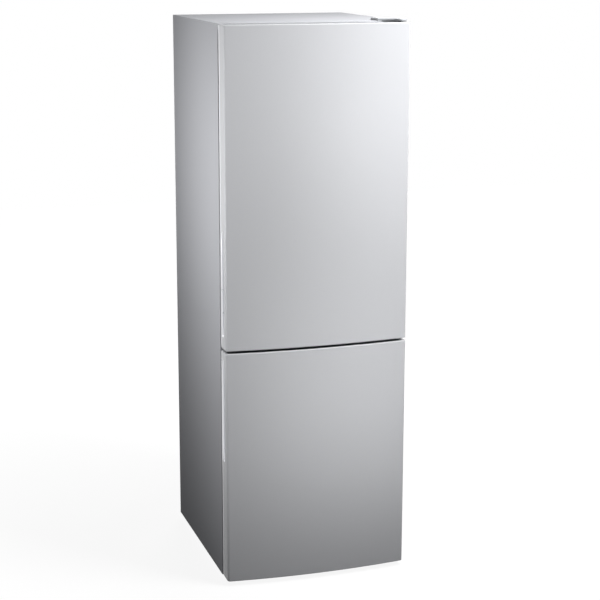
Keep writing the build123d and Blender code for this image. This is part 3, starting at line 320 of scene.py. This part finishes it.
weld = 0.02 * MM
flat_angle = radians(0.5)
fold_angle = radians(28)
crease_angle = radians(38)
rounding_steps = 2
# A rounding needs faces at least this many times as wide as its radius.
rounding_room = 2.2


def placed(name, mesh, finish, body, slot, *stands_for):
    """Make a piece from its mesh, smooth over its curves, give it its finish, and ride it on its body."""
    piece = bpy.data.objects.new(name, mesh)
    scene.collection.objects.link(piece)
    mesh.materials.clear()
    mesh.materials.append(finish)
    mesh.polygons.foreach_set("use_smooth", [True] * len(mesh.polygons))
    mesh.set_sharp_from_angle(angle=crease_angle)
    piece.modifiers.new("even_shading", "WEIGHTED_NORMAL").keep_sharp = True
    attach(piece, body)
    if stands_for:
        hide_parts(*stands_for)


def softened(node, finish, slot, radius):
    """Copy a solid piece with the roundings that its making leaves on its outer edges."""
    shape = bmesh.new()
    shape.from_mesh(nodes[node].data)
    bmesh.ops.remove_doubles(shape, verts=shape.verts, dist=weld)
    bmesh.ops.dissolve_limit(shape, angle_limit=flat_angle, verts=shape.verts, edges=shape.edges)
    edges = []
    for edge in shape.edges:
        least = rounding_room * radius * MM * edge.calc_length()
        roomy = all(face.calc_area() > least for face in edge.link_faces)
        if edge.is_manifold and edge.is_convex and edge.calc_face_angle(0) > fold_angle and roomy:
            edges.append(edge)
    bmesh.ops.bevel(shape, geom=edges, offset=radius * MM, segments=rounding_steps, profile=0.5,
                    affect="EDGES", clamp_overlap=True)
    bmesh.ops.dissolve_degenerate(shape, dist=weld / 2, edges=shape.edges)
    mesh = bpy.data.meshes.new(node + "_finished")
    shape.to_mesh(mesh)
    shape.free()
    placed(node + "_finished", mesh, finish, body_of[node], slot, node)


# Pieces with the roundings of their folds and moulds, in millimetres.
for finish, slot, radius, members in (
        (case_paint, "case_paint", 1.8, ("side_panel_left", "side_panel_right", "top_panel")),
        (case_paint, "case_paint", 1.2, ("centre_rail",)),
        (back_sheet, "back_sheet", 0.8, ("back_panel",)),
        (back_sheet, "back_sheet", 0.4, ("compressor_cover",)),
        (zinc_steel, "zinc_steel", 0.6, ("base_plate",)),
        (zinc_steel, "zinc_steel", 0.5, ("top_hinge", "middle_hinge", "bottom_hinge", "hinge_screws")),
        (grey_abs, "grey_plastic", 0.8, ("top_hinge_cover",)),
        (mid_abs, "grey_plastic", 1.0, ("upper_door_top_cap",)),
        # The door end caps are charcoal moulded plastic; at the seam between the doors their dark colour
        # also paints the shade in the gap.
        (dark_abs, "dark_plastic", 1.0, (
            "upper_door_bottom_cap", "lower_door_top_cap", "lower_door_bottom_cap")),
        (liner_white, "liner", 0.9, (
            "upper_door_liner", "lower_door_liner", "fridge_liner", "freezer_liner")),
        (white_abs, "white_plastic", 0.9, ("air_duct_cover",)),
        (white_abs, "white_plastic", 1.2, ("control_box",)),
        (white_abs, "white_plastic", 0.8, ("evaporator_cover",)),
        (lamp_opal, "lens", 0.8, ("lamp_lens",)),
        (grey_abs, "grey_plastic", 0.5, ("thermostat_dial",)),
        (grey_abs, "grey_plastic", 0.8, ("shelf_trims",)),
        (shelf_pane, "glass", 0.6, ("shelf_glass_1", "shelf_glass_2", "shelf_glass_3", "shelf_glass_4")),
        (clear_tub, "clear_plastic", 0.5, ("crisper_left", "crisper_right")),
        (clear_tub, "clear_plastic", 0.7, (
            "freezer_drawer_top", "freezer_drawer_middle", "freezer_drawer_bottom",
            "door_bin_1", "door_bin_2", "door_bin_3", "door_bin_4")),
        (dark_abs, "dark_plastic", 0.6, ("front_foot_left", "front_foot_right")),
        (dark_abs, "dark_plastic", 1.5, ("rear_roller_left", "rear_roller_right")),
        (dark_abs, "dark_plastic", 0.4, ("cord_gland",))):
    for node in members:
        softened(node, finish, slot, radius)

# Pieces inside the case and the doors take a finish on their own solids.
for finish, members in (
        (cream_foam, ("insulation_foam", "upper_door_foam", "lower_door_foam")),
        (pot_enamel, ("compressor", "condenser_coil")),
        (mount_rubber, ("compressor_grommets",)),
        (dark_abs, ("drip_tray", "fan_motor", "evaporator_fan")),
        (fin_metal, ("evaporator",))):
    for node in members:
        for place in nodes[node].material_slots:
            place.material = finish


def lofted(name, rows, ring=True, loop=False, ends=False):
    """Mesh through rows of points: rings or strips, the last row joined to the first in a loop."""
    count = len(rows[0])
    points = [point for row in rows for point in row]
    faces = []
    for i in range(len(rows) if loop else len(rows) - 1):
        j = (i + 1) % len(rows)
        for k in range(count if ring else count - 1):
            m = (k + 1) % count
            faces.append((i * count + k, i * count + m, j * count + m, j * count + k))
    if ends and ring:
        faces += [tuple(range(count)), tuple(range(len(points) - count, len(points)))]
    if ends and loop:
        faces += [tuple(range(k, len(points), count)) for k in (0, count - 1)]
    shape = bmesh.new()
    corners = [shape.verts.new(point) for point in points]
    for face in faces:
        shape.faces.new([corners[i] for i in face])
    bmesh.ops.recalc_face_normals(shape, faces=shape.faces)
    mesh = bpy.data.meshes.new(name)
    shape.to_mesh(mesh)
    shape.free()
    return mesh


def joined(name, meshes):
    """One mesh of several."""
    shape = bmesh.new()
    for mesh in meshes:
        shape.from_mesh(mesh)
        bpy.data.meshes.remove(mesh)
    whole = bpy.data.meshes.new(name)
    shape.to_mesh(whole)
    shape.free()
    return whole


def worked_out(form):
    """Mesh of a form once its cuts or its letters are worked out."""
    ready = form.evaluated_get(bpy.context.evaluated_depsgraph_get())
    return bpy.data.meshes.new_from_object(ready)


def arc(middle, radius, start, end, steps):
    """Points along an arc in a plane, from one angle to another."""
    turns = [start + (end - start) * i / steps for i in range(steps + 1)]
    return [(middle[0] + radius * cos(turn), middle[1] + radius * sin(turn)) for turn in turns]


# Door skins: bowed steel sheet with rolled edges. The turns up a rolled edge are in degrees.
door_bow = 18 * MM
bow_steps = 44
door_edge_radius = 8 * MM
door_edge_steps = 6
door_end_radius = 3 * MM
door_sheet = 0.8 * MM
hem_radius = 2.2 * MM
hem_width = 5 * MM
hem_turns = (0, 18, 36, 52, 64, 74, 82, 90)
return_width = 14 * MM
return_radius = 2.5 * MM
return_steps = 4

# Strips clipped over the rear edges of the skins.
edge_trim_width = 12 * MM
edge_trim_sheet = 0.5 * MM
edge_trim_gap = 0.02 * MM
edge_trim_steps = 6

# Grips: half of the opening, then the pocket's inset and depth in millimetres, from its lip to its floor.
grip_half = 167.5 * MM
grip_half_width = 12 * MM
grip_tip_radius = 6.5 * MM
grip_tip_turn = radians(12)
grip_tip_steps = 8
grip_taper = 34 * MM
grip_wall = 1.0 * MM
grip_lip = ((0.25, 0), (0.6, 0.15), (1.2, 0.6), (1.8, 1.5), (2.2, 3.0))
grip_sides = ((4.2, 18), (4.6, 21.5), (5.4, 23.6), (5.9, 24))

# Half of a seal's section from the door to the case: millimetres in from its edge, and share of its height.
seal_width = 16.0
seal_half = ((0.6, 0.0), (0.0, 0.13), (1.7, 0.25), (0.5, 0.42),
             (2.1, 0.57), (1.1, 0.74), (1.6, 0.92), (2.6, 1.0))


def door_outline(low, high, inset, side_inset):
    """Plan of a door, drawn in from its outside: rear flanges, trim seats, sides, round edges and bow."""
    half = high.x - side_inset
    rear = high.y - inset
    bow_radius = (high.x ** 2 + door_bow ** 2) / (2 * door_bow)
    bow_centre = low.y + bow_radius
    edge = max(door_edge_radius - inset, hem_radius)
    edge_x = half - edge
    edge_y = bow_centre - sqrt((bow_radius - inset - edge) ** 2 - edge_x ** 2)
    lean = (Vector((edge_x, edge_y)) - Vector((0, bow_centre))).normalized()
    turn = Vector((1, 0)).angle_signed(lean)
    seat = half - edge_trim_sheet
    right = [(high.x - return_width, rear)]
    right += arc((seat - return_radius, rear - return_radius), return_radius, pi / 2, 0, return_steps)
    right += [(seat, rear - edge_trim_width), (half, rear - edge_trim_width)]
    right += arc((edge_x, edge_y), edge, 0, -abs(turn), door_edge_steps)
    tip_x = lean.x * (bow_radius - inset)
    bow = []
    for i in range(1, bow_steps):
        x = tip_x * (1 - 2 * i / bow_steps)
        bow.append((x, bow_centre - sqrt((bow_radius - inset) ** 2 - x ** 2)))
    return right + bow + [(-x, y) for x, y in reversed(right)]


def hem_rows():
    """Insets of the front and the sides, and the drops, up the rolled top edge of a door's skin."""
    rows = []
    for turn in hem_turns:
        drop = door_end_radius * (1 - sin(radians(turn)))
        side = door_end_radius * (1 - cos(radians(turn)))
        front = hem_radius - sqrt(hem_radius ** 2 - max(hem_radius - drop, 0) ** 2)
        rows.append((front, side, drop))
    rows.append((hem_radius + hem_width, door_end_radius + hem_width, 0))
    rows.append((hem_radius + hem_width, door_end_radius + hem_width, door_sheet))
    rows.append((hem_radius, door_end_radius, door_sheet))
    rows.append((door_sheet, door_sheet, door_end_radius + door_sheet))
    return rows


def grip_outline(inset):
    """Front of a grip seen square on: a long pocket that narrows to a round tip at each end."""
    tip = grip_tip_radius - inset
    tip_z = grip_half - inset - tip
    wide = grip_half_width - inset
    shoulder = grip_half - grip_taper
    round_tip = arc((0, tip_z), tip, grip_tip_turn, pi - grip_tip_turn, grip_tip_steps)
    upper = [(wide, shoulder)] + round_tip + [(-wide, shoulder)]
    return upper + [(-v, -w) for v, w in upper]


def grip_ring(door, x, inset):
    """Outline of a door's grip, drawn in by an inset, at a distance across the door."""
    low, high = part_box(door + "_grip")
    y, z = (low.y + high.y) / 2, (low.z + high.z) / 2
    return [(x, y + v, z + w) for v, w in grip_outline(inset)]


def door_skin(door):
    """Roll-formed front sheet of a door, cut out for its grip."""
    node = door + "_skin"
    low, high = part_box(node)
    top = hem_rows()
    rows = []
    for front, side, drop in top:
        rows.append([(x, y, high.z - drop) for x, y in door_outline(low, high, front, side)])
    for front, side, drop in reversed(top):
        rows.append([(x, y, low.z + drop) for x, y in door_outline(low, high, front, side)])
    sheet = bpy.data.objects.new(node, lofted(node, rows, ring=False, loop=True, ends=True))
    cut_rows = [grip_ring(door, x, 0) for x in (low.x - hem_width, low.x + hem_width)]
    cutter = bpy.data.objects.new("grip_cutter", lofted("grip_cutter", cut_rows, ends=True))
    for form in (sheet, cutter):
        scene.collection.objects.link(form)
    cut = sheet.modifiers.new("grip_opening", "BOOLEAN")
    cut.operation = "DIFFERENCE"
    cut.object = cutter
    cut.solver = "EXACT"
    mesh = worked_out(sheet)
    for form in (sheet, cutter):
        bpy.data.objects.remove(form)
    placed(node + "_sheet", mesh, door_paint, body_of[node], "door_paint", node)


def door_grip(door):
    """Moulded finger pocket let into a door's left edge, with a round lip and a soft floor."""
    node = door + "_grip"
    mouth_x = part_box(node)[0].x
    rows = [grip_ring(door, mouth_x + depth * MM, inset * MM) for inset, depth in grip_lip + grip_sides]
    mesh = lofted(node + "_pocket", rows, ends=True)
    shape = bmesh.new()
    shape.from_mesh(mesh)
    mouth = [face for face in shape.faces if face.calc_center_median().x < mouth_x + weld]
    bmesh.ops.delete(shape, geom=mouth, context="FACES_ONLY")
    bmesh.ops.solidify(shape, geom=shape.faces, thickness=-grip_wall)
    shape.to_mesh(mesh)
    shape.free()
    placed(node + "_pocket", mesh, grip_film, body_of[node], "grey_plastic", node)


def trim_strip(section, side, start, end):
    """Length of edge strip on the left side, -1, or the right side, 1, from one height to another."""
    rows = [[(side * x, y, z) for x, y in section] for z in (start, end)]
    return lofted("edge_trim", rows, ends=True)


def door_edge_trims(door):
    """Moulded strips over the rear edges of a door's skin, pale silver to paint a highlight line beside the
    gap.
    """
    low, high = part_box(door + "_skin")
    grip_low, grip_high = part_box(door + "_grip")
    seat = high.x - edge_trim_sheet
    front = high.y - edge_trim_width
    middle = (seat - return_radius, high.y - return_radius)
    section = [(high.x, front)]
    section += arc(middle, return_radius + edge_trim_sheet, 0, pi / 2, edge_trim_steps)
    section += arc(middle, return_radius + edge_trim_gap, pi / 2, 0, edge_trim_steps)
    section += [(seat + edge_trim_gap, front)]
    foot, head = low.z + door_end_radius, high.z - door_end_radius
    strips = [trim_strip(section, 1, foot, head)]
    strips += [trim_strip(section, -1, foot, grip_low.z), trim_strip(section, -1, grip_high.z, head)]
    body = body_of[door + "_skin"]
    name = door + "_edge_trims"
    # The pale finish on these strips paints the highlight along the door's edges.
    placed(name, joined(name, strips), painted_highlight_abs, body, "grey_plastic")
    # Beside the grip the strip is the grip's own metallised flange.
    flange = trim_strip(section, -1, grip_low.z, grip_high.z)
    placed(door + "_grip_flange", flange, grip_film, body, "grey_plastic")


def door_seal(door):
    """Extruded bellows seal, welded square at its corners."""
    node = door + "_gasket"
    low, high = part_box(node)
    section = list(seal_half)
    section += [(seal_width - across, height) for across, height in reversed(seal_half)]
    rows = []
    for across, height in section:
        inset = across * MM
        y = low.y + (high.y - low.y) * height
        rows.append([(low.x + inset, y, low.z + inset), (high.x - inset, y, low.z + inset),
                     (high.x - inset, y, high.z - inset), (low.x + inset, y, high.z - inset)])
    mesh = lofted(node + "_bellows", rows, loop=True)
    placed(node + "_bellows", mesh, seal_vinyl, body_of[node], "seal", node)


for door in ("upper_door", "lower_door"):
    door_skin(door)
    door_grip(door)
    door_edge_trims(door)
    door_seal(door)

# Hoods pressed over the slots of the compressor cover: swell along a hood, and turns round it in degrees.
cover_low, cover_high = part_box("compressor_cover")
hood_length = 196 * MM
hood_reach = 1.8 * MM
hood_rise = 10 * MM
hood_sheet = 0.5 * MM
hood_spacing = 220 * MM
hood_pitch = 19 * MM
hood_first = 43 * MM
hood_rows = 8
hood_swell = ((0, 0.02), (0.02, 0.45), (0.05, 0.82), (0.09, 1),
              (0.91, 1), (0.95, 0.82), (0.98, 0.45), (1, 0.02))
hood_turns = (0, 20, 40, 60, 80, 90)


def louvre_hood(middle_x, low_z):
    """Hood pressed out of the cover above a slot: closed at its ends and top, open below."""
    rows = []
    for along, swell in hood_swell:
        x = middle_x + (along - 0.5) * hood_length
        outer = []
        for turn in hood_turns:
            reach = hood_reach * swell * sin(radians(turn))
            outer.append((x, cover_high.y + reach, low_z + hood_rise * cos(radians(turn))))
        inner = [(x, max(y - hood_sheet, cover_high.y), z) for x, y, z in reversed(outer)]
        rows.append(outer + inner)
    return lofted("louvre_hood", rows, ends=True)


hoods = []
for row in range(hood_rows):
    for side in (-1, 1):
        hoods.append(louvre_hood(side * hood_spacing / 2, hood_first + row * hood_pitch))
louvres = joined("compressor_cover_louvres", hoods)
placed("compressor_cover_louvres", louvres, back_sheet, "cabinet", "back_sheet")

# Plugs in the foam holes of the back panel, and screws of the compressor cover. Their profiles give the
# radius and the height over the sheet in millimetres.
turned_steps = 24
back_low, back_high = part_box("back_panel")
back_rib = 1 * MM
plug_x = 210 * MM
plug_low_z = back_low.z + 90 * MM
plug_high_z = back_high.z - 80 * MM
plug_profile = ((13.0, 0), (12.6, 0.55), (11.4, 0.85), (6.5, 0.9), (5.6, 0.55), (1.0, 0.5))
screw_places = (-286 * MM, -2 * MM, 286 * MM)
screw_from_edge = 8 * MM
screw_profile = ((4.2, 0), (4.2, 0.35), (3.7, 1.05), (2.6, 1.45), (1.5, 1.55), (1.25, 0.6), (0.3, 0.5))


def turned(name, profile, x, sheet_y, z):
    """Round piece on the rear of a sheet, turned from its profile."""
    rows = []
    for radius, height in profile:
        ring = arc((x, z), radius * MM, 0, 2 * pi, turned_steps)[:-1]
        rows.append([(ring_x, sheet_y + height * MM, ring_z) for ring_x, ring_z in ring])
    return lofted(name, rows, ends=True)


plugs = []
for x in (-plug_x, plug_x):
    for z in (plug_low_z, plug_high_z):
        plugs.append(turned("foam_plug", plug_profile, x, back_high.y - back_rib, z))
placed("foam_hole_plugs", joined("foam_hole_plugs", plugs), grey_abs, "cabinet", "grey_plastic")

screws = []
for x in screw_places:
    for z in (cover_low.z + screw_from_edge, cover_high.z - screw_from_edge):
        screws.append(turned("cover_screw", screw_profile, x, cover_high.y, z))
cover_screws = joined("compressor_cover_screws", screws)
placed("compressor_cover_screws", cover_screws, zinc_steel, "cabinet", "zinc_steel")

# Thermostat dial: printed numbers around its finger bar, by their turns in degrees.
dial_low, dial_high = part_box("thermostat_dial")
dial_bar_height = 5 * MM
dial_face = dial_low.y + dial_bar_height
dial_x = (dial_low.x + dial_high.x) / 2
dial_z = (dial_low.z + dial_high.z) / 2
number_ring = 9.8 * MM
number_height = 3.4 * MM
number_turns = (-125, -80, -35, 35, 80, 125)
ink_depth = 0.12 * MM


def dial_number(text, turn):
    """One number, standing upright to the dial's rim."""
    letters = bpy.data.curves.new("dial_number", "FONT")
    letters.body = text
    letters.size = number_height
    letters.align_x = "CENTER"
    letters.align_y = "CENTER"
    letters.extrude = ink_depth
    letters.resolution_u = 3
    sign = bpy.data.objects.new("dial_number", letters)
    scene.collection.objects.link(sign)
    mesh = worked_out(sign)
    bpy.data.objects.remove(sign)
    place = Vector((dial_x + number_ring * sin(turn), dial_face, dial_z + number_ring * cos(turn)))
    upright = Matrix.Rotation(turn, 4, "Y") @ Matrix.Rotation(pi / 2, 4, "X")
    mesh.transform(Matrix.Translation(place) @ upright)
    return mesh


numbers = [dial_number(str(i), radians(turn)) for i, turn in enumerate(number_turns)]
placed("dial_numbers", joined("dial_numbers", numbers), dark_abs, "dial", "dark_plastic")

# Raised pointer above the dial on the control box: its bevel is an inset and a height in millimetres.
dial_gap = 0.4 * MM
pointer_drop = 0.8 * MM
pointer_half = 1.6 * MM
pointer_length = 2.6 * MM
pointer_draft = 1.4
pointer_bevel = ((0, 0), (0.15, 0.35), (0.4, 0.5))
pointer_face = dial_high.y + dial_gap
pointer_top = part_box("control_box")[1].z - pointer_drop
pointer_rows = []
for inset, height in pointer_bevel:
    half = pointer_half - inset * MM
    rise = pointer_top - inset * MM
    tip = pointer_top - pointer_length + pointer_draft * inset * MM
    y = pointer_face - height * MM
    pointer_rows.append([(dial_x - half, y, rise), (dial_x + half, y, rise), (dial_x, y, tip)])
pointer = lofted("dial_pointer", pointer_rows, ends=True)
placed("dial_pointer", pointer, dark_abs, "cabinet", "dark_plastic")


def seen_or_mirrored(tree):
    """One where the eye, a reflection or clear glass looks straight at a surface."""
    path = add(tree, "LightPath").outputs
    plain = {0: path["Is Camera Ray"], 1: path["Is Glossy Ray"]}
    seen = add(tree, "Math", plain, operation="MAXIMUM").outputs[0]
    return add(tree, "Math", {0: seen, 1: path["Is Transmission Ray"]}, operation="MAXIMUM").outputs[0]


# Studio floor: white paper that runs out into white, with the shadow left on it. Its sizes are in metres.
floor_half = 7.0
floor_squares = 4
cloud_width = 0.56
shadow_reach = 0.6
white_reach = 2.2
shadow_white = 0.9
floor_shape = bmesh.new()
bmesh.ops.create_grid(floor_shape, x_segments=floor_squares, y_segments=floor_squares, size=floor_half)
floor_mesh = bpy.data.meshes.new("studio_floor")
floor_shape.to_mesh(floor_mesh)
floor_shape.free()
floor = bpy.data.objects.new("studio_floor", floor_mesh)
scene.collection.objects.link(floor)
paper = bpy.data.materials.new("white_studio_paper")
paper.use_nodes = True
paper_tree = paper.node_tree
paper_tree.nodes.clear()
# Soft clouds in the tone of the paper, counted over the width of the sheet.
clouds = add(paper_tree, "TexNoise", {"Scale": 2 * floor_half / cloud_width, "Detail": 2}).outputs["Fac"]
paper_tones = {MIX_SHARE: clouds, MIX_FIRST: linear("#5C5C5C"), MIX_SECOND: linear("#626262")}
paper_colour = add(paper_tree, "Mix", paper_tones, data_type="RGBA").outputs[MIXED]
matt = add(paper_tree, "BsdfDiffuse", {"Color": paper_colour}).outputs[0]
where = add(paper_tree, "TexCoord").outputs["Object"]
far = add(paper_tree, "VectorMath", {"Vector": where}, operation="LENGTH").outputs["Value"]
white = add(paper_tree, "MapRange", {
    "Value": far, "From Min": shadow_reach, "From Max": white_reach,
    "To Min": shadow_white, "To Max": 1.0}).outputs[0]
seen = seen_or_mirrored(paper_tree)
seen_white = add(paper_tree, "Math", {0: seen, 1: white}, operation="MULTIPLY").outputs[0]
glow = add(paper_tree, "Emission", {"Strength": seen_white}).outputs[0]
whole = add(paper_tree, "AddShader", {0: matt, 1: glow}).outputs[0]
add(paper_tree, "OutputMaterial", {"Surface": whole})
floor_mesh.materials.append(paper)

# White room: its light on the pieces is low, and it is seen as white.
room_light = 0.04
world = bpy.data.worlds.new("white_studio")
scene.world = world
world.use_nodes = True
sky = world.node_tree
sky.nodes.clear()
level = add(sky, "MapRange", {
    "Value": seen_or_mirrored(sky), "To Min": room_light, "To Max": 1.0}).outputs[0]
backdrop = add(sky, "Background", {"Color": (1, 1, 1, 1), "Strength": level}).outputs[0]
add(sky, "OutputWorld", {"Surface": backdrop})


def softbox(name, place, target, size, power, spread, mirrored=True):
    """Square softbox aimed at a point, with a grid that narrows its spread; a fill has no mirror image."""
    lamp = bpy.data.lights.new(name, "AREA")
    lamp.size = size
    lamp.energy = power
    lamp.spread = spread
    holder = bpy.data.objects.new(name, lamp)
    holder.location = place
    holder.rotation_euler = (Vector(target) - Vector(place)).to_track_quat("-Z", "Y").to_euler()
    holder.visible_glossy = mirrored
    scene.collection.objects.link(holder)


softbox("right_softbox", place=(0.92, -1.08, 2.98), target=(0.27, -0.2, 1.15),
        size=0.9, power=33.5, spread=1.97)
softbox("left_softbox", place=(-1.1, -0.33, 1.36), target=(-0.3, -0.15, 1.36),
        size=0.8, power=6.0, spread=2.34)
softbox("upper_front_softbox", place=(0.9, -2.03, 1.16), target=(0.27, -0.2, 1.44),
        size=0.7, power=1.2, spread=0.7, mirrored=False)
softbox("lower_front_softbox", place=(0.33, -1.6, 0.62), target=(0.17, -0.2, 0.59),
        size=0.7, power=0.85, spread=0.7, mirrored=False)
softbox("lower_left_softbox", place=(-2.08, -1.4, 0.4), target=(0.2, -0.2, 0.66),
        size=0.6, power=0.75, spread=0.7, mirrored=False)
softbox("upper_left_softbox", place=(-0.95, -0.8, 3.0), target=(-0.25, -0.18, 1.77),
        size=0.6, power=0.25, spread=0.5, mirrored=False)
softbox("rear_softbox", place=(0.9, 3.2, 1.3), target=(0.0, 0.3, 1.0),
        size=1.4, power=30, spread=1.8)

# Camera where the photograph was taken from.
camera_pitch = 0.2136
camera_yaw = 0.3011
camera = bpy.data.objects.new("camera", bpy.data.cameras.new("camera"))
camera.location = (-1.4747, -4.7537, 2.0097)
camera.rotation_euler = (pi / 2 - camera_pitch, 0, -camera_yaw)
camera.data.sensor_width = 36
camera.data.lens = 92.22
camera.data.shift_x = 0.02
camera.data.shift_y = -0.04
scene.collection.objects.link(camera)
scene.camera = camera
